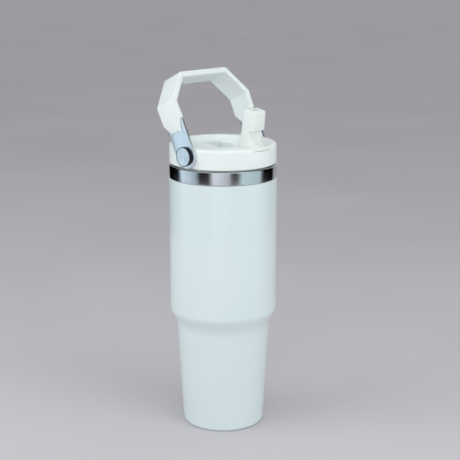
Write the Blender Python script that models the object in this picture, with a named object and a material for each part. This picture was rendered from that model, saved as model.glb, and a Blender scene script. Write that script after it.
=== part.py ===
"""Insulated tumbler with a screw-on lid, a flip-up straw spout and a swinging carry handle.

Frame: metres, +Z up, origin at the centre of the foot. The handle swings about an axis along X, the
spout is on the -Y side and the handle leans back towards +Y.
"""

import math

import bmesh
import bpy
from mathutils import Vector

MM = 0.001
SEGMENTS = 48
SMALL_SEGMENTS = 24
GAP = 0.3 * MM

# Outer wall: where its straight stretches meet, and how large the round at each meeting is
BODY_RADIUS = 45.5 * MM
BODY_WALL = 0.8 * MM
COAT_TOP = 217.9 * MM
SHOULDER_HIGH = 102.3 * MM
SHOULDER_HIGH_ROUND = 11.6 * MM
SHOULDER_LOW = 91.1 * MM
SHOULDER_LOW_RADIUS = 39.95 * MM
SHOULDER_LOW_ROUND = 21.7 * MM
FOOT_RADIUS = 34.95 * MM
FOOT_ROUND = 2.4 * MM
FOOT_INNER_RADIUS = 31.6 * MM

# Base
PAN_RADIUS = 32.8 * MM
PAN_THICKNESS = 0.8 * MM
PAN_HOLE = 1.5 * MM
GETTER_RADIUS = 5.0 * MM
GETTER_HEIGHT = 2.0 * MM
GETTER_X = 14.0 * MM
SOLDER_DOME = 0.6 * MM

# Mouth
RIM_TOP = 229.0 * MM
BAND_WALL = 0.9 * MM
BAND_EDGE = 0.8 * MM
LIP_RADIUS = 43.6 * MM

# Inner liner, given as the outer wall is
LINER_RADIUS = 41.0 * MM
LINER_WALL = 0.7 * MM
LINER_HIGH = 106.6 * MM
LINER_HIGH_ROUND = 6.0 * MM
LINER_LOW = 90.0 * MM
LINER_LOW_RADIUS = 35.5 * MM
LINER_LOW_ROUND = 10.0 * MM
LINER_FOOT_RADIUS = 31.1 * MM
LINER_FOOT_ROUND = 5.5 * MM
LINER_FLOOR = 7.8 * MM
NECK_FLARE = 2.0 * MM

# Mouth thread
THREAD_PITCH = 5.0 * MM
THREAD_LOW = 206.0 * MM
THREAD_HIGH = 218.0 * MM
THREAD_ROW = 1.0 * MM
THREAD_DEPTH = 1.3 * MM

# Lid
LID_RADIUS = 44.9 * MM
LID_LOW = 230.5 * MM
LID_TOP = 247.0 * MM
LID_EDGE = 2.7 * MM
LID_FLAT = 42.4 * MM
LID_CUT_TOP = 252.0 * MM
FLAT_HALF = 20.0 * MM
FLAT_LOW = 225.0 * MM
RECESS_CENTRE = 8.0 * MM
RECESS_RADIUS = 29.6 * MM
RECESS_MOUTH_RADIUS = 31.8 * MM
RECESS_FLOOR_RADIUS = 28.9 * MM
RECESS_STEP = 244.3 * MM
RECESS_FLOOR = 238.0 * MM
RECESS_CROWN = 245.9 * MM
CROWN_RADIUS = 25.0 * MM
TROUGH_END = 12.0 * MM
PLUG_RADIUS = 39.0 * MM
PLUG_WALL = 2.8 * MM
PLUG_LOW = 204.2 * MM
PLUG_PLATE_LOW = 221.5 * MM
PLUG_PLATE_TOP = 224.0 * MM
PLUG_THREAD_ROOT = 38.0 * MM
PLUG_SKIRT_INNER = 35.8 * MM
GASKET_RADIUS = 40.6 * MM
GASKET_WIDTH = 2.4 * MM
GASKET_BEVEL = 0.7 * MM
GASKET_LOW = 220.0 * MM
GASKET_TOP = 224.3 * MM
VENT_Y = 24.0 * MM
VENT_RADIUS = 0.9 * MM
VALVE_STEM = 2.0 * MM
VALVE_HEAD = 4.6 * MM
VALVE_TIP = 218.9 * MM

# Spout; its hinge lies along X, and fronts and backs are measured from the hinge along Y
HINGE_Y = -29.7 * MM
HINGE_Z = 237.8 * MM
BARREL_RADIUS = 7.2 * MM
BARREL_HALF = 7.8 * MM
SPOUT_HALF = 8.0 * MM
SPOUT_TOP = 277.0 * MM
STEP_Z = 260.4 * MM
STEP_RISE = 0.3 * MM
STEM_FRONT = -6.4 * MM
STEM_BACK = 6.5 * MM
STEM_ROUND = 0.8 * MM
STEM_FILLET = 5.5 * MM
MOUTH_STEP = -10.9 * MM
MOUTH_FRONT = -12.1 * MM
MOUTH_BACK = -0.6 * MM
MOUTH_ROUND = 3.5 * MM
MOUTH_EDGE = 1.2 * MM
MOUTH_SLOPE = 0.19
BACK_ROUND = 1.3 * MM
HEEL_HALF = 9.5 * MM
HEEL_LOW = 244.7 * MM
HEEL_SWING = 12.4 * MM
HEEL_FRONT = 44.6 * MM
BORE_RADIUS = 2.6 * MM
BORE_START = (0.0, -26.4 * MM, 229.0 * MM)
BORE_END = (0.0, -36.1 * MM, 280.0 * MM)
PIN_RADIUS = 1.3 * MM
PIN_INNER = 4.2 * MM
PIN_OUTER = 11.2 * MM

# Straw
STRAW_Y = -26.8 * MM
STRAW_RADIUS = 4.1 * MM
STRAW_BORE = 3.3 * MM
STRAW_LOW = 23.0 * MM
STRAW_TOP = 217.7 * MM
SOCKET_SHOULDER = 218.0 * MM
SOCKET_LOW = 209.5 * MM
SOCKET_WALL = 1.5 * MM
SOCKET_BORE = 2.8 * MM
FLANGE_RADIUS = 7.6 * MM
FLANGE_THICKNESS = 1.8 * MM
PORT_RADIUS = 4.9 * MM
HOUSING_RADIUS = 11.6 * MM
HOUSING_Y = -24.0 * MM
HOUSING_LOW = 226.8 * MM

# Handle, in its own plane: u along X, v up the loop, n across the strap
PIVOT_Z = 240.2 * MM
LEAN = math.radians(26.0)
STRAP_FRONT = -8.9 * MM
STRAP_BACK = 12.1 * MM
PLATE_INNER = 42.7 * MM
PLATE_OUTER = 44.5 * MM
PLATE_HALF = 10.0 * MM
PLATE_SHOULDER = 30.1 * MM
TONGUE_HALF = 7.0 * MM
TONGUE_END = 41.0 * MM
TONGUE_POST_V = 36.0 * MM
POST_RADIUS = 2.2 * MM
GRIP_END = 21.0 * MM
GRIP_TAPER = 30.0 * MM
GRIP_END_HALF = 5.5 * MM
GRIP_OUTER = ((45.4 * MM, GRIP_END), (46.5 * MM, 46.0 * MM), (27.5 * MM, 69.0 * MM))
GRIP_INNER = ((40.4 * MM, GRIP_END), (41.5 * MM, 44.8 * MM), (25.7 * MM, 64.1 * MM))
CUT_HALF = 15.0 * MM
BOLT_HEAD_RADIUS = 7.9 * MM
BOLT_FACE = 47.5 * MM
BOLT_RADIUS = 3.0 * MM
BOLT_CHAMFER = 0.6 * MM
BOLT_CLEARANCE = 0.4 * MM
BOLT_END = 34.3 * MM
SIDE_CUT_END = 50.0 * MM
WASHER_RADIUS = 5.3 * MM
WASHER_THICKNESS = 1.0 * MM
INSERT_RADIUS = 4.6 * MM
INSERT_INNER = 33.5 * MM
INSERT_OUTER = 40.8 * MM


def clear_scene():
    for obj in list(bpy.data.objects):
        bpy.data.objects.remove(obj, do_unlink=True)


def material(name, colour, roughness, metallic=0.0):
    made = bpy.data.materials.new(name)
    made.use_nodes = True
    shader = made.node_tree.nodes["Principled BSDF"]
    shader.inputs["Base Color"].default_value = (*colour, 1.0)
    shader.inputs["Roughness"].default_value = roughness
    shader.inputs["Metallic"].default_value = metallic
    made.diffuse_color = (*colour, 1.0)
    return made


def finish_mesh(name, bm, surface=None):
    """Turns a bmesh into an object whose faces point out and whose round sides are smooth."""
    bmesh.ops.recalc_face_normals(bm, faces=bm.faces)
    mesh = bpy.data.meshes.new(name)
    bm.to_mesh(mesh)
    bm.free()
    mesh.shade_smooth()
    mesh.set_sharp_from_angle(angle=math.radians(30))
    obj = bpy.data.objects.new(name, mesh)
    bpy.context.scene.collection.objects.link(obj)
    if surface is not None:
        mesh.materials.append(surface)
    return obj


def ring_of(bm, radius, z, segments):
    """One ring of a turned shape. The radius may be a number or a rule of the angle."""
    if radius == 0.0:
        return [bm.verts.new((0.0, 0.0, z))]
    ring = []
    for step in range(segments):
        angle = 2.0 * math.pi * step / segments
        reach = radius(angle) if callable(radius) else radius
        ring.append(bm.verts.new((reach * math.cos(angle), reach * math.sin(angle), z)))
    return ring


def join_rings(bm, first, second):
    count = max(len(first), len(second))
    for step in range(count):
        after = (step + 1) % count
        corners = [first[step % len(first)], second[step % len(second)]]
        corners += [second[after % len(second)], first[after % len(first)]]
        face = list(dict.fromkeys(corners))
        bm.faces.new(face)


def turned(name, profile, surface=None, segments=SEGMENTS):
    """A shape turned about Z from (radius, z) points, closed at the axis or round a ring."""
    bm = bmesh.new()
    rings = [ring_of(bm, radius, z, segments) for radius, z in profile]
    pairs = list(zip(rings, rings[1:]))
    if profile[0][0] != 0.0:
        pairs.append((rings[-1], rings[0]))
    for tip, near in ((0, 1), (-1, -2)):
        if profile[tip][0] == 0.0 and profile[tip][1] == profile[near][1]:
            pairs.remove((rings[0], rings[1]) if tip == 0 else (rings[-2], rings[-1]))
            bm.verts.remove(rings[tip][0])
            bm.faces.new(rings[near])
    for first, second in pairs:
        join_rings(bm, first, second)
    return finish_mesh(name, bm, surface)


PLACES = {
    "X": lambda a, b, t: (t, a, b),
    "Y": lambda a, b, t: (a, t, b),
    "Z": lambda a, b, t: (a, b, t),
}


def prism(name, outline, low, high, axis, surface=None):
    """An outline in the two other axes, extruded from low to high along this one."""
    bm = bmesh.new()
    place = PLACES[axis]
    bottom = [bm.verts.new(place(a, b, low)) for a, b in outline]
    top = [bm.verts.new(place(a, b, high)) for a, b in outline]
    bm.faces.new(bottom)
    bm.faces.new(top)
    for step in range(len(outline)):
        after = (step + 1) % len(outline)
        bm.faces.new([bottom[step], bottom[after], top[after], top[step]])
    return finish_mesh(name, bm, surface)


def rod(name, radius, start, end, surface=None, segments=SMALL_SEGMENTS):
    """A cylinder between two points."""
    start = Vector(start)
    along = Vector(end) - start
    obj = turned(
        name,
        [(0.0, 0.0), (radius, 0.0), (radius, along.length), (0.0, along.length)],
        surface,
        segments,
    )
    obj.location = start
    obj.rotation_mode = "QUATERNION"
    obj.rotation_quaternion = along.to_track_quat("Z", "Y")
    return obj


def arc(centre, radius, start, end, steps):
    """Points on an arc from one angle to another, in degrees, both ends included."""
    points = []
    for step in range(steps + 1):
        angle = math.radians(start + (end - start) * step / steps)
        points.append((centre[0] + radius * math.cos(angle), centre[1] + radius * math.sin(angle)))
    return points


def rounded(corners, steps=3):
    """An outline through (a, b, radius) corners, each one but the two ends replaced by an arc."""
    points = [corners[0][:2]]
    for before, (a, b, radius), after in zip(corners, corners[1:], corners[2:]):
        corner = Vector((a, b))
        back = (Vector(before[:2]) - corner).normalized()
        ahead = (Vector(after[:2]) - corner).normalized()
        half = back.angle(ahead) / 2.0
        centre = corner + (back + ahead).normalized() * (radius / math.sin(half))
        start = corner + back * (radius / math.tan(half)) - centre
        end = corner + ahead * (radius / math.tan(half)) - centre
        for step in range(steps + 1):
            points.append(tuple(centre + start.slerp(end, step / steps).normalized() * radius))
    return points + [corners[-1][:2]]


def closed_round(corners):
    """A closed outline through (a, b, radius) corners, every one of them rounded."""
    return rounded([corners[-1], *corners, corners[0]])[1:-1]


def offset(corners, distance):
    """The same corners moved sideways, to the right of the direction in which they run."""
    runs = [Vector(after[:2]) - Vector(before[:2]) for before, after in zip(corners, corners[1:])]
    asides = [Vector((run.y, -run.x)).normalized() for run in runs]
    moved = []
    for place, (a, b, radius) in enumerate(corners):
        first = asides[max(place - 1, 0)]
        second = asides[min(place, len(asides) - 1)]
        turn = distance * math.copysign(1.0, first.cross(second))
        shift = (first + second) * (distance / (1.0 + first.dot(second)))
        moved.append((a + shift.x, b + shift.y, radius + turn if radius else 0.0))
    return moved


def box_outline(low_a, high_a, low_b, high_b):
    return [(low_a, low_b), (high_a, low_b), (high_a, high_b), (low_a, high_b)]


def combine(target, tool, operation="DIFFERENCE"):
    """Adds a Boolean modifier and keeps its tool out of the model."""
    modifier = target.modifiers.new(tool.name, "BOOLEAN")
    modifier.operation = operation
    modifier.solver = "EXACT"
    modifier.object = tool
    tool.hide_render = True
    tool.display_type = "WIRE"


def empty(name, location, rotation=(0.0, 0.0, 0.0)):
    made = bpy.data.objects.new(name, None)
    bpy.context.scene.collection.objects.link(made)
    made.location = location
    made.rotation_euler = rotation
    return made


# Cup


def make_outer_shell(surface):
    """Painted outer wall: a straight upper part, a shoulder, and a tapered part for a cup holder."""
    corners = [
        (BODY_RADIUS, COAT_TOP, 0.0),
        (BODY_RADIUS, SHOULDER_HIGH, SHOULDER_HIGH_ROUND),
        (SHOULDER_LOW_RADIUS, SHOULDER_LOW, SHOULDER_LOW_ROUND),
        (FOOT_RADIUS, 0.0, FOOT_ROUND),
        (FOOT_INNER_RADIUS, 0.0, 0.0),
    ]
    profile = rounded(corners) + rounded(offset(corners, BODY_WALL))[::-1]
    return turned("outer_shell", profile, surface)


def make_mouth_band(surface):
    """Bare steel collar between the coat's edge and the lip."""
    low = COAT_TOP + GAP
    inner = BODY_RADIUS - BAND_WALL
    top_inner = LIP_RADIUS + GAP
    profile = [(BODY_RADIUS, low), (BODY_RADIUS, RIM_TOP - BAND_EDGE)]
    profile += [(BODY_RADIUS - BAND_EDGE, RIM_TOP), (top_inner, RIM_TOP)]
    profile += [(top_inner, RIM_TOP - BAND_EDGE), (inner, RIM_TOP - 2.0 * BAND_EDGE), (inner, low)]
    return turned("mouth_band", profile, surface)


def ridge(z, angle):
    """How far the thread stands out at this height and angle, from 0 to 1."""
    turn = (z - THREAD_LOW) / THREAD_PITCH - angle / (2.0 * math.pi)
    return max(0.0, math.cos(2.0 * math.pi * turn))


def thread_rows(root, depth):
    """Profile rows of a thread, from its low end up; a negative depth stands inwards."""
    rows = []
    count = round((THREAD_HIGH - THREAD_LOW) / THREAD_ROW)
    for step in range(count + 1):
        z = THREAD_LOW + step * THREAD_ROW
        fade = 0.0 if step in (0, count) else 1.0

        def radius(angle, z=z, fade=fade):
            return root + fade * depth * ridge(z, angle)

        rows.append((radius, z))
    return rows


def make_inner_liner(surface):
    """Inner steel cup, a vacuum gap inside the outer wall, with the mouth thread rolled into it."""
    corners = [
        (LINER_RADIUS, THREAD_LOW, 0.0),
        (LINER_RADIUS, LINER_HIGH, LINER_HIGH_ROUND),
        (LINER_LOW_RADIUS, LINER_LOW, LINER_LOW_ROUND),
        (LINER_FOOT_RADIUS, LINER_FLOOR, LINER_FOOT_ROUND),
        (0.0, LINER_FLOOR, 0.0),
    ]
    outer = LINER_RADIUS + LINER_WALL
    neck = [(outer, RIM_TOP - NECK_FLARE - BAND_EDGE), (LIP_RADIUS, RIM_TOP - BAND_EDGE)]
    neck += [(LIP_RADIUS, RIM_TOP), (LIP_RADIUS - BAND_EDGE, RIM_TOP)]
    neck.append((LINER_RADIUS, RIM_TOP - NECK_FLARE))
    outside = rounded(offset(corners, -LINER_WALL))[:0:-1]
    inside = thread_rows(LINER_RADIUS, -THREAD_DEPTH)[::-1] + rounded(corners)[1:]
    return turned("inner_liner", outside + neck + inside, surface)


def make_base(steel, grey, solder):
    """Vacuum base pan with its sealed hole and getter, and the cosmetic disc under it."""
    low = BODY_WALL + GAP
    top = low + PAN_THICKNESS
    turned(
        "vacuum_base_pan",
        [(PAN_HOLE, low), (PAN_RADIUS, low), (PAN_RADIUS, top), (PAN_HOLE, top)],
        steel,
    )
    bead = PAN_HOLE - GAP
    dome = [(0.6 * bead, top + 0.7 * SOLDER_DOME), (0.0, top + SOLDER_DOME)]
    turned("seal_solder", [(0.0, low), (bead, low), (bead, top)] + dome, solder, SMALL_SEGMENTS)
    edge = GETTER_RADIUS - 0.4 * MM
    getter = turned(
        "getter",
        [(0.0, 0.0), (edge, 0.0), (GETTER_RADIUS, 0.5 * MM)]
        + [(GETTER_RADIUS, GETTER_HEIGHT), (0.0, GETTER_HEIGHT)],
        grey,
        SMALL_SEGMENTS,
    )
    getter.location = (GETTER_X, 0.0, top + GAP)
    cover = FOOT_INNER_RADIUS - GAP
    turned("base_cover", [(0.0, GAP), (cover, GAP), (cover, BODY_WALL), (0.0, BODY_WALL)], steel)


# Lid


def recess_cutter():
    """The lid's sunken top: steep sides and a floor that is crowned in the middle."""
    rise = RECESS_CROWN - RECESS_FLOOR
    profile = [(0.0, RECESS_CROWN)]
    for share in (0.3, 0.55, 0.8, 1.0):
        profile.append((CROWN_RADIUS * share, RECESS_CROWN - rise * share * share))
    profile += [(RECESS_FLOOR_RADIUS, RECESS_FLOOR), (RECESS_RADIUS, RECESS_STEP)]
    profile += [(RECESS_MOUTH_RADIUS, LID_TOP), (RECESS_MOUTH_RADIUS, LID_CUT_TOP), (0.0, LID_CUT_TOP)]
    cutter = turned("cut_recess", profile)
    cutter.location.y = RECESS_CENTRE
    return cutter


def trough_cutter():
    """The slot in which the spout's barrel turns, and the trough that it folds down into."""
    pocket = BARREL_RADIUS + GAP
    heel_low = HEEL_LOW - GAP
    outline = [(-SIDE_CUT_END, LID_CUT_TOP), (-SIDE_CUT_END, heel_low), (HINGE_Y - pocket, heel_low)]
    outline += arc((HINGE_Y, HINGE_Z), pocket, 180.0, 276.0, 8)
    outline += [(TROUGH_END, RECESS_FLOOR - GAP), (TROUGH_END, LID_CUT_TOP)]
    half = SPOUT_HALF + GAP
    return prism("cut_trough", outline, -half, half, "X")


def heel_arc(radius, low, high):
    """The heel's round back about the hinge, from one height to another."""
    start = 180.0 - math.degrees(math.asin((low - HINGE_Z) / radius))
    end = 180.0 - math.degrees(math.asin((high - HINGE_Z) / radius))
    return arc((HINGE_Y, HINGE_Z), radius, start, end, 4)


def notch_cutter():
    """The notch in the rim for the spout's heel; its back wall is round about the hinge."""
    low = HEEL_LOW - GAP
    outline = heel_arc(HEEL_SWING - GAP, low, LID_TOP + GAP)
    outline += [(outline[-1][0], LID_CUT_TOP), (-SIDE_CUT_END, LID_CUT_TOP), (-SIDE_CUT_END, low)]
    half = HEEL_HALF + GAP
    return prism("cut_notch", outline, -half, half, "X")


def side_cutters(side, name):
    """Flat, washer pocket and insert bore on one side of the lid."""
    end = side * SIDE_CUT_END
    flat = prism(
        f"cut_flat_{name}",
        box_outline(-FLAT_HALF, FLAT_HALF, FLAT_LOW, LID_CUT_TOP),
        *sorted((side * LID_FLAT, end)),
        "X",
    )
    washer_seat = side * (PLATE_INNER - GAP - WASHER_THICKNESS - GAP)
    insert_seat = side * (INSERT_INNER - GAP)
    pocket = rod(
        f"cut_pocket_{name}", WASHER_RADIUS + GAP, (end, 0.0, PIVOT_Z), (washer_seat, 0.0, PIVOT_Z)
    )
    bore = rod(
        f"cut_insert_{name}", INSERT_RADIUS + GAP, (end, 0.0, PIVOT_Z), (insert_seat, 0.0, PIVOT_Z)
    )
    return [flat, pocket, bore]


def make_lid_shell(surface):
    """Moulded lid with its deck, recess, trough, notch and pivot flats."""
    edge = 0.5 * MM
    corner = (LID_RADIUS - LID_EDGE, LID_TOP - LID_EDGE)
    profile = [(0.0, LID_LOW), (LID_RADIUS - edge, LID_LOW), (LID_RADIUS, LID_LOW + edge)]
    profile += arc(corner, LID_EDGE, 0.0, 90.0, 4)
    profile += [(0.0, LID_TOP)]
    lid = turned("lid_shell", profile, surface)
    inside_lid = 2.5 * MM
    housing = rod(
        "add_housing",
        HOUSING_RADIUS,
        (0.0, HOUSING_Y, HOUSING_LOW),
        (0.0, HOUSING_Y, LID_LOW + inside_lid),
    )
    combine(lid, housing, "UNION")
    pins = PIN_OUTER + GAP
    port = PORT_RADIUS
    pin_hole = PIN_RADIUS + GAP
    tools = [recess_cutter(), trough_cutter(), notch_cutter()]
    tools += side_cutters(-1.0, "left") + side_cutters(1.0, "right")
    tools.append(rod("cut_port", port, (0.0, STRAW_Y, PLUG_LOW), (0.0, STRAW_Y, LID_LOW + inside_lid)))
    tools.append(rod("cut_vent", VENT_RADIUS, (0.0, VENT_Y, PLUG_LOW), (0.0, VENT_Y, LID_TOP)))
    tools.append(rod("cut_pins", pin_hole, (-pins, HINGE_Y, HINGE_Z), (pins, HINGE_Y, HINGE_Z)))
    for tool in tools:
        combine(lid, tool)
    return lid


def make_lid_plug(surface):
    """Threaded inner body under the lid, with a plate for the straw socket and the vent valve."""
    wall_inner = PLUG_RADIUS - PLUG_WALL
    groove = GASKET_RADIUS - GASKET_WIDTH - GAP
    edge = 0.8 * MM
    profile = [(0.0, PLUG_PLATE_LOW), (PLUG_SKIRT_INNER, PLUG_PLATE_LOW), (PLUG_SKIRT_INNER, PLUG_LOW)]
    profile += [(PLUG_THREAD_ROOT - edge, PLUG_LOW), (PLUG_THREAD_ROOT, PLUG_LOW + edge)]
    profile += thread_rows(PLUG_THREAD_ROOT, THREAD_DEPTH)
    profile += [(PLUG_RADIUS, THREAD_HIGH + edge), (PLUG_RADIUS, GASKET_LOW - GAP)]
    profile += [(groove, GASKET_LOW - GAP), (groove, GASKET_TOP + GAP)]
    profile += [(PLUG_RADIUS, GASKET_TOP + GAP), (PLUG_RADIUS, LID_LOW - GAP)]
    profile += [(wall_inner, LID_LOW - GAP), (wall_inner, PLUG_PLATE_TOP), (0.0, PLUG_PLATE_TOP)]
    plug = turned("lid_plug", profile, surface)
    for name, radius, y in (("port", PORT_RADIUS, STRAW_Y), ("vent", VALVE_STEM + GAP, VENT_Y)):
        tool = rod(f"cut_plug_{name}", radius, (0.0, y, PLUG_LOW), (0.0, y, LID_LOW))
        combine(plug, tool)
    return plug


def make_lid_seals(silicone):
    """Ring between plug and liner, ring under the spout's barrel, and the air valve."""
    inner = GASKET_RADIUS - GASKET_WIDTH
    bevel = GASKET_RADIUS - GASKET_BEVEL
    middle = 0.5 * (GASKET_LOW + GASKET_TOP)
    profile = [(inner, GASKET_LOW), (bevel, GASKET_LOW), (GASKET_RADIUS, middle)]
    profile += [(bevel, GASKET_TOP), (inner, GASKET_TOP)]
    turned("lid_gasket", profile, silicone)
    low = HOUSING_LOW + 0.8 * MM
    top = HINGE_Z - BARREL_RADIUS - 0.8 * MM
    outer = PORT_RADIUS - GAP
    ring = [(SOCKET_BORE, low), (outer, low), (outer, top), (SOCKET_BORE, top)]
    seal = turned("port_seal", ring, silicone, SMALL_SEGMENTS)
    seal.location.y = STRAW_Y
    cap = PLUG_PLATE_TOP + GAP
    barb = VALVE_STEM + 1.0 * MM
    edge = VALVE_HEAD - 0.4 * MM
    profile = [(0.0, VALVE_TIP), (VALVE_STEM, VALVE_TIP + 0.7 * MM), (barb, PLUG_PLATE_LOW - GAP)]
    profile += [(VALVE_STEM, PLUG_PLATE_LOW - GAP), (VALVE_STEM, cap), (VALVE_HEAD, cap)]
    profile += [(edge, cap + 0.9 * MM), (0.0, cap + 1.3 * MM)]
    valve = turned("vent_valve", profile, silicone, SMALL_SEGMENTS)
    valve.location.y = VENT_Y


def make_straw(clear_plastic, white_plastic):
    """Adapter pushed up through the plug into the port, and the straw pushed up into it."""
    spigot = PORT_RADIUS - GAP
    spigot_top = HOUSING_LOW + 0.5 * MM
    flange_top = PLUG_PLATE_LOW - GAP
    flange_low = flange_top - FLANGE_THICKNESS
    tube = STRAW_RADIUS + GAP
    outer = tube + SOCKET_WALL
    profile = [(SOCKET_BORE, spigot_top), (SOCKET_BORE, SOCKET_SHOULDER), (tube, SOCKET_SHOULDER)]
    profile += [(tube, SOCKET_LOW), (outer, SOCKET_LOW), (outer, flange_low)]
    profile += [(FLANGE_RADIUS, flange_low), (FLANGE_RADIUS, flange_top)]
    profile += [(spigot, flange_top), (spigot, spigot_top)]
    socket = turned("straw_socket", profile, white_plastic, SMALL_SEGMENTS)
    socket.location.y = STRAW_Y
    profile = [(STRAW_BORE, STRAW_LOW), (STRAW_RADIUS, STRAW_LOW)]
    profile += [(STRAW_RADIUS, STRAW_TOP), (STRAW_BORE, STRAW_TOP)]
    straw = turned("straw", profile, clear_plastic, SMALL_SEGMENTS)
    straw.location.y = STRAW_Y


# Spout


def spout_ring(bm, height, slope, front, front_round, inset):
    """One cross-section of the spout; the inset narrows it all round, and the slope raises its back."""
    share = (height - HINGE_Z) / (SPOUT_TOP - HINGE_Z)
    back = STEM_BACK + (MOUTH_BACK - STEM_BACK) * share - inset
    front += inset
    half = SPOUT_HALF - inset
    corners = [(-half, front, front_round), (half, front, front_round)]
    corners += [(half, back, BACK_ROUND), (-half, back, BACK_ROUND)]
    middle = 0.5 * (MOUTH_FRONT + MOUTH_BACK)
    ring = []
    for x, y in closed_round(corners):
        ring.append(bm.verts.new((x, HINGE_Y + y, height + slope * (y - middle))))
    return ring


def spout_column(surface):
    """Stem and mouthpiece; the mouthpiece overhangs the stem, and its top is square to the bore."""
    bm = bmesh.new()
    rings = [
        spout_ring(bm, HINGE_Z, 0.0, STEM_FRONT, STEM_ROUND, 0.0),
        spout_ring(bm, STEP_Z - STEP_RISE, 0.0, STEM_FRONT, STEM_ROUND, 0.0),
        spout_ring(bm, STEP_Z, 0.0, MOUTH_STEP, MOUTH_ROUND, 0.0),
        spout_ring(bm, SPOUT_TOP - MOUTH_EDGE, MOUTH_SLOPE, MOUTH_FRONT, MOUTH_ROUND, 0.0),
        spout_ring(bm, SPOUT_TOP, MOUTH_SLOPE, MOUTH_FRONT, MOUTH_ROUND, MOUTH_EDGE),
    ]
    for first, second in zip(rings, rings[1:]):
        join_rings(bm, first, second)
    bm.faces.new(rings[0])
    bm.faces.new(rings[-1])
    return finish_mesh("spout", bm, surface)


def spout_heel():
    """The foot in front of the stem and its wider heel, which fill the notch in the lid's rim."""
    stem = HINGE_Y + STEM_FRONT
    inside = HINGE_Y
    foot = [(inside, HEEL_LOW), (inside, LID_TOP + STEM_FILLET)]
    foot += arc((stem - STEM_FILLET, LID_TOP + STEM_FILLET), STEM_FILLET, 0.0, -90.0, 5)
    foot += [(-SIDE_CUT_END, LID_TOP), (-SIDE_CUT_END, HEEL_LOW)]
    heel = prism("add_foot", foot, -BARREL_HALF, BARREL_HALF, "X")
    wing = heel_arc(HEEL_SWING, HEEL_LOW, LID_TOP)
    wing += [(-SIDE_CUT_END, LID_TOP), (-SIDE_CUT_END, HEEL_LOW)]
    combine(heel, prism("add_heel", wing, -HEEL_HALF, HEEL_HALF, "X"), "UNION")
    limit = [(0.0, 0.0), (HEEL_FRONT, 0.0)]
    limit += arc((HEEL_FRONT - LID_EDGE, LID_TOP - LID_EDGE), LID_EDGE, 0.0, 80.0, 3)
    limit += [(HEEL_FRONT - LID_EDGE, STEP_Z), (0.0, STEP_Z)]
    combine(heel, turned("trim_heel", limit), "INTERSECT")
    return heel


def make_spout(surface, steel):
    """Flip-up mouthpiece and the two stub pins it turns on."""
    spout = spout_column(surface)
    barrel = arc((HINGE_Y, HINGE_Z), BARREL_RADIUS, 0.0, 345.0, 23)
    combine(spout, prism("add_barrel", barrel, -BARREL_HALF, BARREL_HALF, "X"), "UNION")
    combine(spout, spout_heel(), "UNION")
    combine(spout, rod("cut_spout_bore", BORE_RADIUS, BORE_START, BORE_END))
    for side, name in ((-1.0, "left"), (1.0, "right")):
        inner = side * (PIN_INNER - GAP)
        outer = side * (PIN_OUTER + GAP)
        hole = rod(
            f"cut_spout_pin_{name}",
            PIN_RADIUS + GAP,
            (inner, HINGE_Y, HINGE_Z),
            (outer, HINGE_Y, HINGE_Z),
        )
        combine(spout, hole)
        rod(
            f"spout_pin_{name}",
            PIN_RADIUS,
            (side * PIN_INNER, HINGE_Y, HINGE_Z),
            (side * PIN_OUTER, HINGE_Y, HINGE_Z),
            steel,
        )


# Handle


def grip_outline():
    """The loop in its own plane: outer corners, then inner corners, from one end to the other."""
    outer_left = [(-u, v) for u, v in reversed(GRIP_OUTER)]
    inner_left = [(-u, v) for u, v in GRIP_INNER]
    return list(GRIP_OUTER) + outer_left + inner_left + list(reversed(GRIP_INNER))


def slot_cutter(name, side, parent):
    """The slot for a plate's tongue, with a round post left standing in it."""
    shoulder = PLATE_SHOULDER + GAP
    half = TONGUE_HALF + GAP
    end = TONGUE_END + GAP
    below = GRIP_END - GAP
    outline = [(-CUT_HALF, below), (CUT_HALF, below), (CUT_HALF, shoulder)]
    outline += [(half, shoulder), (half, end), (-half, end), (-half, shoulder)]
    outline += [(-CUT_HALF, shoulder)]
    near, far = sorted((side * (PLATE_INNER - GAP), side * (PLATE_OUTER + GAP)))
    slot = prism(f"cut_slot_{name}", outline, near, far, "X")
    slot.parent = parent
    post = rod(
        f"cut_post_{name}",
        POST_RADIUS,
        (near - GAP, 0.0, TONGUE_POST_V),
        (far + GAP, 0.0, TONGUE_POST_V),
    )
    post.parent = parent
    combine(slot, post)
    return slot


def make_grip(surface, pivot):
    """Moulded carry loop with tapered ends, moulded round the two steel plates."""
    grip = prism("handle_grip", grip_outline(), STRAP_FRONT, STRAP_BACK, "Y", surface)
    grip.parent = pivot
    below = GRIP_END - GAP
    for side, face, name in ((-1.0, STRAP_FRONT, "front"), (1.0, STRAP_BACK, "back")):
        end = side * GRIP_END_HALF
        wide = side * CUT_HALF
        taper = [(face, GRIP_TAPER), (end, GRIP_END), (end, below), (wide, below), (wide, GRIP_TAPER)]
        tool = prism(f"cut_taper_{name}", taper, -SIDE_CUT_END, SIDE_CUT_END, "X")
        tool.parent = pivot
        combine(grip, tool)
    for side, name in ((-1.0, "left"), (1.0, "right")):
        combine(grip, slot_cutter(name, side, pivot))


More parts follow.
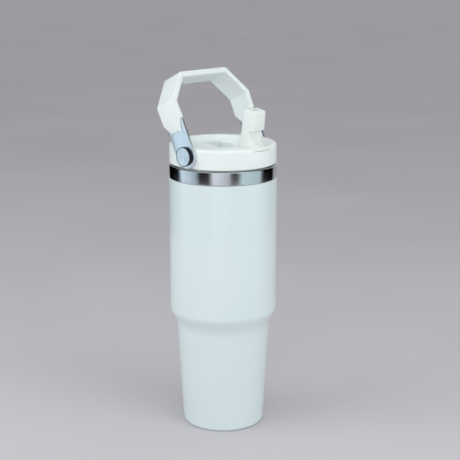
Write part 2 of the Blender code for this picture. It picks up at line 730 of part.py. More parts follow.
def make_plate(side, name, surface, pivot):
    """Steel side plate: round at the pivot, with a narrow tongue inside the grip."""
    outline = arc((0.0, 0.0), PLATE_HALF, 180.0, 360.0, 16)
    outline += [(PLATE_HALF, PLATE_SHOULDER), (TONGUE_HALF, PLATE_SHOULDER)]
    outline += [(TONGUE_HALF, TONGUE_END), (-TONGUE_HALF, TONGUE_END)]
    outline += [(-TONGUE_HALF, PLATE_SHOULDER), (-PLATE_HALF, PLATE_SHOULDER)]
    near, far = sorted((side * PLATE_INNER, side * PLATE_OUTER))
    plate = prism(f"handle_plate_{name}", outline, near, far, "X", surface)
    plate.parent = pivot
    for label, radius, height in (
        ("pivot", BOLT_RADIUS + BOLT_CLEARANCE, 0.0),
        ("post", POST_RADIUS + GAP, TONGUE_POST_V),
    ):
        hole = rod(
            f"cut_plate_{label}_{name}", radius, (near - GAP, 0.0, height), (far + GAP, 0.0, height)
        )
        hole.parent = pivot
        combine(plate, hole)


def turned_along_x(name, profile, side, surface):
    """A shape turned about the handle's pivot axis, from (radius, distance from the middle)."""
    obj = turned(name, profile, surface, SMALL_SEGMENTS)
    obj.location.z = PIVOT_Z
    obj.rotation_euler.y = side * math.pi / 2.0
    return obj


def make_pivot(side, name, steel, dark, brass):
    """Bolt, washer and threaded insert on one side."""
    under_head = PLATE_OUTER + GAP
    bolt = [(0.0, BOLT_END), (BOLT_RADIUS, BOLT_END), (BOLT_RADIUS, under_head)]
    bolt += [(BOLT_HEAD_RADIUS, under_head), (BOLT_HEAD_RADIUS, BOLT_FACE - BOLT_CHAMFER)]
    bolt += [(BOLT_HEAD_RADIUS - BOLT_CHAMFER, BOLT_FACE), (0.0, BOLT_FACE)]
    turned_along_x(f"pivot_bolt_{name}", bolt, side, steel)
    hole = BOLT_RADIUS + BOLT_CLEARANCE
    washer_top = PLATE_INNER - GAP
    washer_low = washer_top - WASHER_THICKNESS
    washer = [(hole, washer_low), (WASHER_RADIUS, washer_low)]
    washer += [(WASHER_RADIUS, washer_top), (hole, washer_top)]
    turned_along_x(f"pivot_washer_{name}", washer, side, dark)
    bore = BOLT_RADIUS + GAP
    insert = [(bore, INSERT_INNER), (INSERT_RADIUS, INSERT_INNER)]
    insert += [(INSERT_RADIUS, INSERT_OUTER), (bore, INSERT_OUTER)]
    turned_along_x(f"pivot_insert_{name}", insert, side, brass)


def main():
    clear_scene()
    steel = material("bare steel", (0.62, 0.63, 0.64), 0.28, 1.0)
    liner_steel = material("liner steel", (0.58, 0.59, 0.60), 0.35, 1.0)
    paint = material("white coat", (0.80, 0.86, 0.84), 0.30)
    plastic = material("off-white plastic", (0.84, 0.85, 0.80), 0.42)
    silicone = material("silicone", (0.78, 0.80, 0.80), 0.55)
    clear_plastic = material("straw plastic", (0.86, 0.88, 0.86), 0.25)
    dark = material("dark nylon", (0.05, 0.05, 0.055), 0.50)
    brass = material("brass", (0.75, 0.58, 0.30), 0.35, 1.0)
    grey = material("getter metal", (0.35, 0.34, 0.33), 0.60, 1.0)
    solder = material("seal metal", (0.50, 0.50, 0.50), 0.40, 1.0)
    make_outer_shell(paint)
    make_mouth_band(steel)
    make_inner_liner(liner_steel)
    make_base(liner_steel, grey, solder)
    make_lid_shell(plastic)
    make_lid_plug(plastic)
    make_lid_seals(silicone)
    make_straw(clear_plastic, plastic)
    make_spout(plastic, steel)
    pivot = empty("handle_pivot", (0.0, 0.0, PIVOT_Z), (-LEAN, 0.0, 0.0))
    make_grip(plastic, pivot)
    for side, name in ((-1.0, "left"), (1.0, "right")):
        make_plate(side, name, steel, pivot)
        make_pivot(side, name, steel, dark, brass)


main()
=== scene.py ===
"""Insulated tumbler: fine visible pieces, materials, floor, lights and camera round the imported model.

Metres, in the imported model's frame: +Z up, the foot's centre at the origin, the handle's pivot along X,
the spout on the -Y side and the handle leaning back towards +Y.
"""

import math

import bmesh
import bpy
from mathutils import Matrix, Vector


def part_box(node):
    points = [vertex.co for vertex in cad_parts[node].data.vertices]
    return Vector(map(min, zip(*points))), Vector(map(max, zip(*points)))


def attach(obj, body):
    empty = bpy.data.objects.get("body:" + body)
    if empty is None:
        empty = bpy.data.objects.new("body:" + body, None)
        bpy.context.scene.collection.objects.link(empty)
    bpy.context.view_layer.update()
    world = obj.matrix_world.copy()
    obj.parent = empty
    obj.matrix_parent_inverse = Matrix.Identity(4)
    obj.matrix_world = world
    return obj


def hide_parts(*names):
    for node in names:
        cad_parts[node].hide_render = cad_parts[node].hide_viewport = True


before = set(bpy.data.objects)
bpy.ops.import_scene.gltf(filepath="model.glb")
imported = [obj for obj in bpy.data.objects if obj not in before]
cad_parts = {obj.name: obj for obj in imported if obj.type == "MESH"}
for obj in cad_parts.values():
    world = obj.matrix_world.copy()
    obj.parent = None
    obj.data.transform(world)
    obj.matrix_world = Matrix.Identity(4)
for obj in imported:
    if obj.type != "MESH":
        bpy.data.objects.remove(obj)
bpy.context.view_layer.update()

MM = 0.001
FINE = 192
MEDIUM = 96
SMALL = 64
GAP = 0.3 * MM

# Camera
CAMERA_TURN = math.radians(47.0)
CAMERA_DISTANCE = 0.892
CAMERA_HEIGHT = 0.3942
CAMERA_PITCH = math.radians(14.07)
CAMERA_YAW = math.radians(0.38)
CAMERA_LENS = 84.15
CAMERA_SENSOR = 36.0

# Outer wall and liner: heights and radii at which straight stretches meet, and the rounds there
BODY_WALL = 0.8 * MM
SHOULDER = ((45.5 * MM, 102.3 * MM, 11.6 * MM), (39.95 * MM, 91.1 * MM, 21.7 * MM))
FOOT_CORNER = (34.95 * MM, 0.0, 2.4 * MM)
FOOT_INNER_RADIUS = 31.6 * MM
LINER_RADIUS = 41.0 * MM
LINER_WALL = 0.7 * MM
LINER_BENDS = ((41.0 * MM, 106.6 * MM, 6.0 * MM), (35.5 * MM, 90.0 * MM, 10.0 * MM))
LINER_FOOT = (31.1 * MM, 7.8 * MM, 5.5 * MM)
LIP_RADIUS = 43.6 * MM
NECK_FLARE = 2.0 * MM
BAND_WALL = 0.9 * MM
# Base cover: radii where its raised rings start and end, from the middle out
COVER_RINGS = (8.0 * MM, 8.6 * MM, 22.0 * MM, 22.4 * MM, 23.6 * MM, 24.0 * MM)

# Thread
THREAD_PITCH = 5.0 * MM
THREAD_LOW = 206.0 * MM
THREAD_HIGH = 218.0 * MM
THREAD_ROW = 0.5 * MM
THREAD_DEPTH = 1.3 * MM
PLUG_THREAD_ROOT = 38.0 * MM

# Lid
LID_RADIUS = 44.9 * MM
LID_LOW = 230.5 * MM
LID_EDGE = 2.7 * MM
LID_FLAT = 42.4 * MM
LID_CUT_TOP = 252.0 * MM
LID_CUT_LOW = 220.0 * MM
FLAT_HALF = 20.0 * MM
FLAT_LOW = 225.0 * MM
RECESS_CENTRE = 8.0 * MM
RECESS_RADIUS = 29.6 * MM
RECESS_MOUTH_RADIUS = 31.8 * MM
RECESS_FLOOR_RADIUS = 28.9 * MM
RECESS_STEP = 244.3 * MM
RECESS_FLOOR = 238.0 * MM
RECESS_CROWN = 245.9 * MM
CROWN_RADIUS = 25.0 * MM
TROUGH_END = 12.0 * MM
PLUG_RADIUS = 39.0 * MM
PLUG_WALL = 2.8 * MM
GROOVE_RADIUS = 37.9 * MM
PLUG_SKIRT_INNER = 35.8 * MM
PLUG_PLATE_LOW = 221.5 * MM
PLUG_PLATE_TOP = 224.0 * MM
VENT_Y = 24.0 * MM
VENT_RADIUS = 0.9 * MM
VALVE_STEM = 2.0 * MM
HOUSING_RADIUS = 11.6 * MM
HOUSING_Y = -24.0 * MM
PORT_RADIUS = 4.9 * MM

# Spout; fronts and backs are measured from the hinge along Y
HINGE_Y = -29.7 * MM
HINGE_Z = 237.8 * MM
BARREL_RADIUS = 7.2 * MM
BARREL_HALF = 7.8 * MM
SPOUT_HALF = 8.0 * MM
SPOUT_TOP = 277.0 * MM
STEP_Z = 260.4 * MM
STEM_FRONT = -6.4 * MM
STEM_BACK = 6.5 * MM
STEM_ROUND = 0.9 * MM
STEM_FILLET = 5.5 * MM
MOUTH_STEP = -10.9 * MM
MOUTH_FRONT = -12.1 * MM
MOUTH_BACK = -0.6 * MM
MOUTH_ROUND = 3.5 * MM
MOUTH_EDGE = 1.4 * MM
MOUTH_SLOPE = 0.19
BACK_ROUND = 1.4 * MM
HEEL_HALF = 9.5 * MM
HEEL_LOW = 244.7 * MM
HEEL_SWING = 12.4 * MM
HEEL_FRONT = 44.6 * MM
HEEL_GAP = 0.5 * MM
SPOUT_BORE = 2.6 * MM
BORE_START = (0.0, -26.4 * MM, 229.0 * MM)
BORE_END = (0.0, -36.1 * MM, 280.0 * MM)
PIN_RADIUS = 1.3 * MM
PIN_OUTER = 11.2 * MM
PIN_HOLE_END = 3.9 * MM

# Straw
STRAW_Y = -26.8 * MM
STRAW_RADIUS = 4.1 * MM
STRAW_BORE = 3.3 * MM
SOCKET_BORE = 2.8 * MM
SOCKET_WALL = 1.5 * MM
SOCKET_SHOULDER = 218.0 * MM
FLANGE_THICKNESS = 1.8 * MM

# Handle, in its own plane: u along X, v up the loop, n across the strap
PIVOT_Z = 240.2 * MM
LEAN = math.radians(26.0)
STRAP_FRONT = -8.9 * MM
STRAP_BACK = 12.1 * MM
GRIP_END = 21.0 * MM
GRIP_TAPER = 30.0 * MM
GRIP_END_HALF = 5.5 * MM
GRIP_OUTER = ((45.4 * MM, GRIP_END), (46.5 * MM, 46.0 * MM), (27.5 * MM, 69.0 * MM))
GRIP_INNER = ((40.4 * MM, GRIP_END), (41.5 * MM, 44.8 * MM), (25.7 * MM, 64.1 * MM))
OUTER_BEND = 4.0 * MM
INNER_BEND = 3.0 * MM
PLATE_INNER = 42.7 * MM
PLATE_OUTER = 44.5 * MM
PLATE_HALF = 10.0 * MM
PLATE_SHOULDER = 30.1 * MM
TONGUE_HALF = 7.0 * MM
TONGUE_END = 41.0 * MM
TONGUE_POST_V = 36.0 * MM
POST_RADIUS = 2.2 * MM
BOLT_FACE = 47.5 * MM
BOLT_RADIUS = 3.0 * MM
BOLT_HOLE_RADIUS = BOLT_RADIUS + 0.4 * MM
BOLT_HEAD_RADIUS = 7.9 * MM
BOLT_RIM = 0.6 * MM
BOLT_END = 34.3 * MM
WASHER_RADIUS = 5.3 * MM
WASHER_THICKNESS = 1.0 * MM
INSERT_RADIUS = 4.6 * MM
INSERT_INNER = 33.5 * MM
CUT_HALF = 15.0 * MM
SIDE_CUT_END = 50.0 * MM

# Stage; the cards are seen only in reflections, and the black ones stand nearer
FLOOR_HALF = 15.0
LIGHT_AIM = 0.13
CARD_LOW = 0.02
CARD_HEIGHT = 0.9
CARD_STEPS = 4
BLACK_DISTANCE = 0.60
BRIGHT_DISTANCE = 0.64


# Outlines


def arc(centre, radius, start, end, steps):
    """Points on an arc from one angle to another, in degrees, both ends included."""
    points = []
    for step in range(steps + 1):
        angle = math.radians(start + (end - start) * step / steps)
        points.append((centre[0] + radius * math.cos(angle), centre[1] + radius * math.sin(angle)))
    return points


def rounded(corners, steps=10):
    """An outline through (a, b, radius) corners, each one but the two ends replaced by an arc."""
    points = [corners[0][:2]]
    for before, (a, b, radius), after in zip(corners, corners[1:], corners[2:]):
        corner = Vector((a, b))
        back = (Vector(before[:2]) - corner).normalized()
        ahead = (Vector(after[:2]) - corner).normalized()
        half = back.angle(ahead) / 2.0
        centre = corner + (back + ahead).normalized() * (radius / math.sin(half))
        start = corner + back * (radius / math.tan(half)) - centre
        end = corner + ahead * (radius / math.tan(half)) - centre
        for step in range(steps + 1):
            points.append(tuple(centre + start.slerp(end, step / steps).normalized() * radius))
    return points + [corners[-1][:2]]


def closed_round(corners, steps=6):
    """A closed outline with every corner rounded."""
    wrapped = [corners[-1], *corners, corners[0]]
    return rounded(wrapped, steps)[1:-1]


def offset(corners, distance):
    """The same corners moved sideways, to the right of the direction in which they run."""
    runs = [Vector(after[:2]) - Vector(before[:2]) for before, after in zip(corners, corners[1:])]
    asides = [Vector((run.y, -run.x)).normalized() for run in runs]
    moved = []
    for place, (a, b, radius) in enumerate(corners):
        first = asides[max(place - 1, 0)]
        second = asides[min(place, len(asides) - 1)]
        turn = distance * math.copysign(1.0, first.cross(second))
        shift = (first + second) * (distance / (1.0 + first.dot(second)))
        moved.append((a + shift.x, b + shift.y, radius + turn if radius else 0.0))
    return moved


# Meshes


def ring_of(bm, radius, z, segments):
    if radius == 0.0:
        return [bm.verts.new((0.0, 0.0, z))]
    ring = []
    for step in range(segments):
        angle = 2.0 * math.pi * step / segments
        reach = radius(angle) if callable(radius) else radius
        ring.append(bm.verts.new((reach * math.cos(angle), reach * math.sin(angle), z)))
    return ring


def join_rings(bm, first, second):
    count = max(len(first), len(second))
    for step in range(count):
        after = (step + 1) % count
        corners = [first[step % len(first)], second[step % len(second)]]
        corners += [second[after % len(second)], first[after % len(first)]]
        bm.faces.new(list(dict.fromkeys(corners)))


def to_object(name, bm, sharp=32.0):
    bmesh.ops.recalc_face_normals(bm, faces=bm.faces)
    mesh = bpy.data.meshes.new(name)
    bm.to_mesh(mesh)
    bm.free()
    mesh.shade_smooth()
    mesh.set_sharp_from_angle(angle=math.radians(sharp))
    obj = bpy.data.objects.new(name, mesh)
    bpy.context.scene.collection.objects.link(obj)
    return obj


def turned(name, profile, segments=FINE, y=0.0):
    """A shape turned about an upright axis from (radius, z) points; the radius may be a rule of the angle."""
    bm = bmesh.new()
    rings = [ring_of(bm, radius, z, segments) for radius, z in profile]
    pairs = list(zip(rings, rings[1:]))
    if profile[0][0] != 0.0:
        pairs.append((rings[-1], rings[0]))
    for first, second in pairs:
        join_rings(bm, first, second)
    if y:
        bmesh.ops.translate(bm, verts=bm.verts, vec=(0.0, y, 0.0))
    return to_object(name, bm)


def prism(name, outline, low, high, place):
    """An outline extruded from low to high; place turns (a, b, t) into a point."""
    bm = bmesh.new()
    bottom = [bm.verts.new(place(a, b, low)) for a, b in outline]
    top = [bm.verts.new(place(a, b, high)) for a, b in outline]
    bm.faces.new(bottom)
    bm.faces.new(top)
    for step in range(len(outline)):
        after = (step + 1) % len(outline)
        bm.faces.new([bottom[step], bottom[after], top[after], top[step]])
    return to_object(name, bm)


def along_x(a, b, t):
    return (t, a, b)


def in_loop(u, v, n):
    """A point of the handle's own plane, in the model's frame."""
    tilt = Matrix.Rotation(-LEAN, 3, "X")
    return tilt @ Vector((u, n, v)) + Vector((0.0, 0.0, PIVOT_Z))


def strap_side(n, v, u):
    return in_loop(u, v, n)


def rod(name, radius, start, end, segments=SMALL):
    """A cylinder between two points."""
    bm = bmesh.new()
    start = Vector(start)
    along = Vector(end) - start
    turn = along.to_track_quat("Z", "Y").to_matrix()
    rings = []
    for height in (0.0, along.length):
        ring = ring_of(bm, radius, height, segments)
        for vert in ring:
            vert.co = start + turn @ vert.co
        rings.append(ring)
    join_rings(bm, *rings)
    bm.faces.new(rings[0])
    bm.faces.new(rings[1])
    return to_object(name, bm)


def settle(obj, sharp=32.0):
    """Replaces the object's mesh by what its modifiers make of it."""
    graph = bpy.context.evaluated_depsgraph_get()
    mesh = bpy.data.meshes.new_from_object(obj.evaluated_get(graph))
    obj.modifiers.clear()
    old = obj.data
    obj.data = mesh
    bpy.data.meshes.remove(old)
    mesh.shade_smooth()
    mesh.set_sharp_from_angle(angle=math.radians(sharp))
    return obj


def carve(obj, tools, operation="DIFFERENCE"):
    """Cuts each tool from the object, or joins it on, and removes the tools."""
    for tool in tools:
        modifier = obj.modifiers.new(tool.name, "BOOLEAN")
        modifier.operation = operation
        modifier.solver = "EXACT"
        modifier.object = tool
    settle(obj)
    for tool in tools:
        bpy.data.objects.remove(tool)
    return obj


def soften(obj, width, segments=3, angle=34.0):
    """Rounds the object's sharp edges."""
    modifier = obj.modifiers.new("round", "BEVEL")
    modifier.width = width
    modifier.segments = segments
    modifier.limit_method = "ANGLE"
    modifier.angle_limit = math.radians(angle)
    modifier.miter_outer = "MITER_ARC"
    return settle(obj)


def finish_piece(obj, body, look, slot, *nodes):
    """Gives the piece its material and its body, and hides the CAD nodes that it stands for."""
    obj.data.materials.clear()
    obj.data.materials.append(look)
    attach(obj, body)
    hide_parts(*nodes)
    return obj


# Materials


def add_node(tree, kind, **inputs):
    node = tree.nodes.new(kind)
    for name, value in inputs.items():
        node.inputs[name.replace("_", " ")].default_value = value
    return node


def mapped(tree, scale=(1.0, 1.0, 1.0), shift=(0.0, 0.0, 0.0), turn=(0.0, 0.0, 0.0)):
    """The model's own coordinates in metres, moved, turned and stretched."""
    place = tree.nodes.new("ShaderNodeTexCoord")
    mapping = add_node(tree, "ShaderNodeMapping", Location=shift, Rotation=turn, Scale=scale)
    tree.links.new(place.outputs["Object"], mapping.inputs["Vector"])
    return mapping.outputs["Vector"]


def noise(tree, vector, scale, detail=3.0):
    node = add_node(tree, "ShaderNodeTexNoise", Scale=scale, Detail=detail)
    tree.links.new(vector, node.inputs["Vector"])
    return node.outputs["Fac"]


def spread(tree, factor, low, high, start=0.3, end=0.7):
    """Stretches a pattern's usual values over a range."""
    node = tree.nodes.new("ShaderNodeMapRange")
    for name, value in (("From Min", start), ("From Max", end), ("To Min", low), ("To Max", high)):
        node.inputs[name].default_value = value
    tree.links.new(factor, node.inputs["Value"])
    return node.outputs["Result"]


def tint(tree, factor, first, second):
    """A colour between two, by a pattern."""
    node = tree.nodes.new("ShaderNodeMix")
    node.data_type = "RGBA"
    node.inputs["A"].default_value = (*first, 1.0)
    node.inputs["B"].default_value = (*second, 1.0)
    tree.links.new(factor, node.inputs["Factor"])
    return node.outputs["Result"]


def emboss(tree, shader, *layers):
    """Bump layers, each (pattern, depth in metres, strength), one on the other."""
    last = None
    for height, depth, strength in layers:
        node = add_node(tree, "ShaderNodeBump", Distance=depth, Strength=strength)
        tree.links.new(height, node.inputs["Height"])
        if last is not None:
            tree.links.new(last, node.inputs["Normal"])
        last = node.outputs["Normal"]
    tree.links.new(last, shader.inputs["Normal"])


def new_look(name, **sockets):
    look = bpy.data.materials.new(name)
    look.use_nodes = True
    shader = look.node_tree.nodes["Principled BSDF"]
    for socket, value in sockets.items():
        shader.inputs[socket.replace("_", " ")].default_value = value
    return look, look.node_tree, shader


def coat_look():
    """Sprayed and baked coat: nearly even colour, a fine orange peel and a few specks."""
    look, tree, shader = new_look("coat", Coat_Weight=0.45, Coat_Roughness=0.16)
    plain = mapped(tree)
    broad = noise(tree, plain, 14.0, 2.0)
    colour = tint(tree, spread(tree, broad, 0.0, 1.0), (0.69, 0.80, 0.805), (0.715, 0.82, 0.82))
    tree.links.new(colour, shader.inputs["Base Color"])
    peel = noise(tree, plain, 620.0, 2.0)
    grain = noise(tree, plain, 4200.0, 2.0)
    tree.links.new(spread(tree, grain, 0.30, 0.42), shader.inputs["Roughness"])
    emboss(tree, shader, (peel, 0.00006, 0.35), (grain, 0.00001, 0.25))
    return look


def plastic_look(name, first, second, roughness=(0.38, 0.50), see_through=0.0):
    """Satin moulded plastic: a fine spark-eroded grain with faint flow marks."""
    look, tree, shader = new_look(
        name, Subsurface_Weight=0.08, Subsurface_Scale=0.002, Transmission_Weight=see_through
    )
    plain = mapped(tree)
    flow = noise(tree, mapped(tree, scale=(1.0, 1.0, 2.5)), 30.0, 3.0)
    tree.links.new(tint(tree, spread(tree, flow, 0.0, 1.0), first, second), shader.inputs["Base Color"])
    grain = noise(tree, plain, 2600.0, 3.0)
    tree.links.new(spread(tree, grain, *roughness), shader.inputs["Roughness"])
    emboss(tree, shader, (flow, 0.0002, 0.05), (grain, 0.00002, 0.35))
    return look


def steel_look(name, colour, scale, roughness, turn=(0, 0, 0), stretch=0.75, grain=0.35):
    """Brushed steel: fine lines that run where the scale is small, and a highlight stretched across them."""
    look, tree, shader = new_look(name, Metallic=1.0, Anisotropic=stretch, Anisotropic_Rotation=0.25)
    if stretch:
        tangent = tree.nodes.new("ShaderNodeTangent")
        tangent.direction_type = "RADIAL"
        tangent.axis = "Z"
        tree.links.new(tangent.outputs["Tangent"], shader.inputs["Tangent"])
    lines = noise(tree, mapped(tree, scale=scale, turn=turn), 1.0, 4.0)
    worn = noise(tree, mapped(tree), 90.0, 3.0)
    darker = tuple(0.88 * part for part in colour)
    tree.links.new(tint(tree, spread(tree, lines, 0.0, 1.0), darker, colour), shader.inputs["Base Color"])
    both = tree.nodes.new("ShaderNodeMath")
    both.operation = "ADD"
    tree.links.new(spread(tree, lines, *roughness), both.inputs[0])
    tree.links.new(spread(tree, worn, -0.02, 0.03), both.inputs[1])
    tree.links.new(both.outputs["Value"], shader.inputs["Roughness"])
    emboss(tree, shader, (lines, 0.00002, grain))
    return look


def spun_look(name, colour, centre, face_radius):
    """A turned face, with fine rings about the X axis; beyond the face's radius the side is painted
    near-black, a painted reflection of dark surroundings.
    """
    look, tree, shader = new_look(name, Metallic=1.0, Anisotropic=0.45, Anisotropic_Rotation=0.25)
    tangent = tree.nodes.new("ShaderNodeTangent")
    tangent.direction_type = "RADIAL"
    tangent.axis = "X"
    tree.links.new(tangent.outputs["Tangent"], shader.inputs["Tangent"])
    about = [-part for part in centre]
    rings = add_node(tree, "ShaderNodeTexWave", Scale=900.0, Distortion=0.6, Detail=2.0)
    rings.wave_type = "RINGS"
    rings.rings_direction = "X"
    tree.links.new(mapped(tree, shift=about), rings.inputs["Vector"])
    smudge = noise(tree, mapped(tree), 300.0, 3.0)
    # Painted reflection: past the face's radius the head's side wall is coloured near-black, standing for
    # dark surroundings mirrored in it.
    reach = tree.nodes.new("ShaderNodeVectorMath")
    reach.operation = "LENGTH"
    tree.links.new(mapped(tree, scale=(0.0, 1.0, 1.0), shift=about), reach.inputs[0])
    edge = 0.15 * MM
    side = spread(tree, reach.outputs["Value"], 0.0, 1.0, face_radius - edge, face_radius + edge)
    face = tint(tree, spread(tree, smudge, 0.0, 1.0), tuple(0.88 * part for part in colour), colour)
    # Painted reflection: the near-black colour is mixed in on the side wall by the mask above.
    both = tree.nodes.new("ShaderNodeMix")
    both.data_type = "RGBA"
    both.inputs["B"].default_value = (0.025, 0.03, 0.036, 1.0)
    tree.links.new(side, both.inputs["Factor"])
    tree.links.new(face, both.inputs["A"])
    tree.links.new(both.outputs["Result"], shader.inputs["Base Color"])
    tree.links.new(spread(tree, rings.outputs["Fac"], 0.22, 0.34, 0.0, 1.0), shader.inputs["Roughness"])
    emboss(tree, shader, (rings.outputs["Fac"], 0.00002, 0.3))
    return look


def silicone_look():
    look, tree, shader = new_look("silicone", Subsurface_Weight=0.15, Subsurface_Scale=0.002)
    bloom = noise(tree, mapped(tree), 160.0, 4.0)
    tree.links.new(
        tint(tree, spread(tree, bloom, 0.0, 1.0), (0.66, 0.68, 0.68), (0.72, 0.73, 0.72)),
        shader.inputs["Base Color"],
    )
    tree.links.new(spread(tree, bloom, 0.55, 0.68), shader.inputs["Roughness"])
    emboss(tree, shader, (noise(tree, mapped(tree), 3000.0, 2.0), 0.00002, 0.3))
    return look


def floor_look():
    look, tree, shader = new_look("floor", Specular_IOR_Level=0.05)
    cloud = noise(tree, mapped(tree), 3.0, 5.0)
    tree.links.new(
        tint(tree, spread(tree, cloud, 0.0, 1.0), (0.56, 0.54, 0.565), (0.60, 0.58, 0.605)),
        shader.inputs["Base Color"],
    )
    tree.links.new(spread(tree, cloud, 0.55, 0.65), shader.inputs["Roughness"])
    emboss(tree, shader, (noise(tree, mapped(tree), 800.0, 3.0), 0.0001, 0.15))
    return look


# Cup


def ridge(z, angle):
    """How far the thread stands out at this height and angle, from 0 to 1."""
    turn = (z - THREAD_LOW) / THREAD_PITCH - angle / (2.0 * math.pi)
    return max(0.0, math.cos(2.0 * math.pi * turn))


def thread_rows(root, depth):
    """Profile rows of a thread, from its low end up; a negative depth stands inwards."""
    rows = []
    count = round((THREAD_HIGH - THREAD_LOW) / THREAD_ROW)
    for step in range(count + 1):
        z = THREAD_LOW + step * THREAD_ROW
        fade = min(1.0, step / 3.0, (count - step) / 3.0)

        def radius(angle, z=z, fade=fade):
            return root + fade * depth * ridge(z, angle)

        rows.append((radius, z))
    return rows


def make_cup(coat, band_steel, liner_steel):
    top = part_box("outer_shell")[1].z
    radius = SHOULDER[0][0]
    corners = [(radius, top, 0.0), *SHOULDER, FOOT_CORNER, (FOOT_INNER_RADIUS, 0.0, 0.0)]
    inner = rounded(offset(corners, BODY_WALL))[::-1]
    edge = 0.2 * MM
    outer = [(radius - edge, top), (radius, top - edge)] + rounded(corners)[1:]
    finish_piece(turned("coated_wall", outer + inner), "cup", coat, "white_coat", "outer_shell")

    low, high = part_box("mouth_band")
    wall = BAND_WALL
    lip = LIP_RADIUS + GAP
    corners = [(radius - wall, low.z, 0.0), (radius, low.z, 0.2 * MM), (radius, high.z, 0.8 * MM)]
    corners += [(lip, high.z, 0.25 * MM), (lip, high.z - wall, 0.0)]
    profile = rounded(corners, 6) + [(radius - wall, high.z - 2.0 * wall)]
    finish_piece(turned("steel_band", profile), "cup", band_steel, "band_steel", "mouth_band")

    floor = LINER_FOOT[1]
    corners = [(LINER_RADIUS, THREAD_LOW, 0.0), *LINER_BENDS, LINER_FOOT, (0.0, floor, 0.0)]
    outer = LINER_RADIUS + LINER_WALL
    round_lip = 0.35 * MM
    neck = [(outer, high.z - NECK_FLARE - wall), (LIP_RADIUS, high.z - 0.8 * MM)]
    neck += [(LIP_RADIUS, high.z - round_lip), (LIP_RADIUS - round_lip, high.z)]
    neck += [(LIP_RADIUS - 0.8 * MM, high.z), (LINER_RADIUS + 0.4 * MM, high.z - 0.7 * NECK_FLARE)]
    neck.append((LINER_RADIUS, high.z - 1.4 * NECK_FLARE))
    outside = rounded(offset(corners, -LINER_WALL), 6)[:0:-1]
    inside = thread_rows(LINER_RADIUS, -THREAD_DEPTH)[::-1] + rounded(corners, 6)[1:]
    liner = turned("steel_liner", outside + neck + inside)
    finish_piece(liner, "cup", liner_steel, "liner_steel", "inner_liner")

    low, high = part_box("base_cover")
    groove = 0.15 * MM
    first, second, third, fourth, fifth, sixth = COVER_RINGS
    profile = [(0.0, low.z + groove), (first, low.z + groove), (second, low.z)]
    profile += [(third, low.z), (fourth, low.z + groove), (fifth, low.z + groove)]
    profile += [(sixth, low.z), (high.x - groove, low.z), (high.x, low.z + groove)]
    profile += [(high.x, high.z), (0.0, high.z)]
    finish_piece(turned("foot_cover", profile), "cup", liner_steel, "base_steel", "base_cover")


# Lid


def recess_cutter():
    """The lid's sunken top: steep sides that flare at the deck, and a floor domed in the middle."""
    rise = RECESS_CROWN - RECESS_FLOOR
    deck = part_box("lid_shell")[1].z
    profile = [(0.0, RECESS_CROWN)]
    steps = 16
    for step in range(1, steps):
        share = step / steps
        profile.append((CROWN_RADIUS * share, RECESS_CROWN - rise * share * share))
    walls = [
        (profile[-1][0], profile[-1][1], 0.0),
        (CROWN_RADIUS, RECESS_FLOOR, 1.5 * MM),
        (RECESS_FLOOR_RADIUS, RECESS_FLOOR, 1.5 * MM),
        (RECESS_RADIUS, RECESS_STEP, 4.0 * MM),
        (RECESS_MOUTH_RADIUS, deck, 0.9 * MM),
        (RECESS_MOUTH_RADIUS + 2.0 * MM, deck, 0.0),
    ]
    profile += rounded(walls, 6)[1:-1]
    profile += [(profile[-1][0], LID_CUT_TOP), (0.0, LID_CUT_TOP)]
    return turned("cut_recess", profile, FINE, RECESS_CENTRE)


def heel_arc(radius, low, high, steps=8):
    """The heel's round back about the hinge, from one height to another."""
    start = 180.0 - math.degrees(math.asin((low - HINGE_Z) / radius))
    end = 180.0 - math.degrees(math.asin((high - HINGE_Z) / radius))
    return arc((HINGE_Y, HINGE_Z), radius, start, end, steps)


def trough_cutter():
    pocket = BARREL_RADIUS + GAP
    heel_low = HEEL_LOW - HEEL_GAP
    outline = [(-SIDE_CUT_END, LID_CUT_TOP), (-SIDE_CUT_END, heel_low), (HINGE_Y - pocket, heel_low)]
    outline += arc((HINGE_Y, HINGE_Z), pocket, 180.0, 276.0, 24)
    outline += [(TROUGH_END, RECESS_FLOOR - GAP), (TROUGH_END, LID_CUT_TOP)]
    half = SPOUT_HALF + GAP
    return prism("cut_trough", outline, -half, half, along_x)


def notch_cutter(deck):
    low = HEEL_LOW - HEEL_GAP
    outline = heel_arc(HEEL_SWING - GAP, low, deck + GAP)
    outline += [(outline[-1][0], LID_CUT_TOP), (-SIDE_CUT_END, LID_CUT_TOP), (-SIDE_CUT_END, low)]
    half = HEEL_HALF + HEEL_GAP
    return prism("cut_notch", outline, -half, half, along_x)


def side_cutters(side):
    """Flat, washer pocket and insert bore on one side of the lid."""
    end = side * SIDE_CUT_END
    outline = [(-FLAT_HALF, FLAT_LOW), (FLAT_HALF, FLAT_LOW), (FLAT_HALF, LID_CUT_TOP)]
    outline.append((-FLAT_HALF, LID_CUT_TOP))
    flat = prism("cut_flat", outline, *sorted((side * LID_FLAT, end)), along_x)
    washer_seat = side * (PLATE_INNER - GAP - WASHER_THICKNESS - GAP)
    insert_seat = side * (INSERT_INNER - GAP)
    pocket = rod("cut_pocket", WASHER_RADIUS + GAP, (end, 0.0, PIVOT_Z), (washer_seat, 0.0, PIVOT_Z))
    bore = rod("cut_insert", INSERT_RADIUS + GAP, (end, 0.0, PIVOT_Z), (insert_seat, 0.0, PIVOT_Z))
    return [flat, pocket, bore]


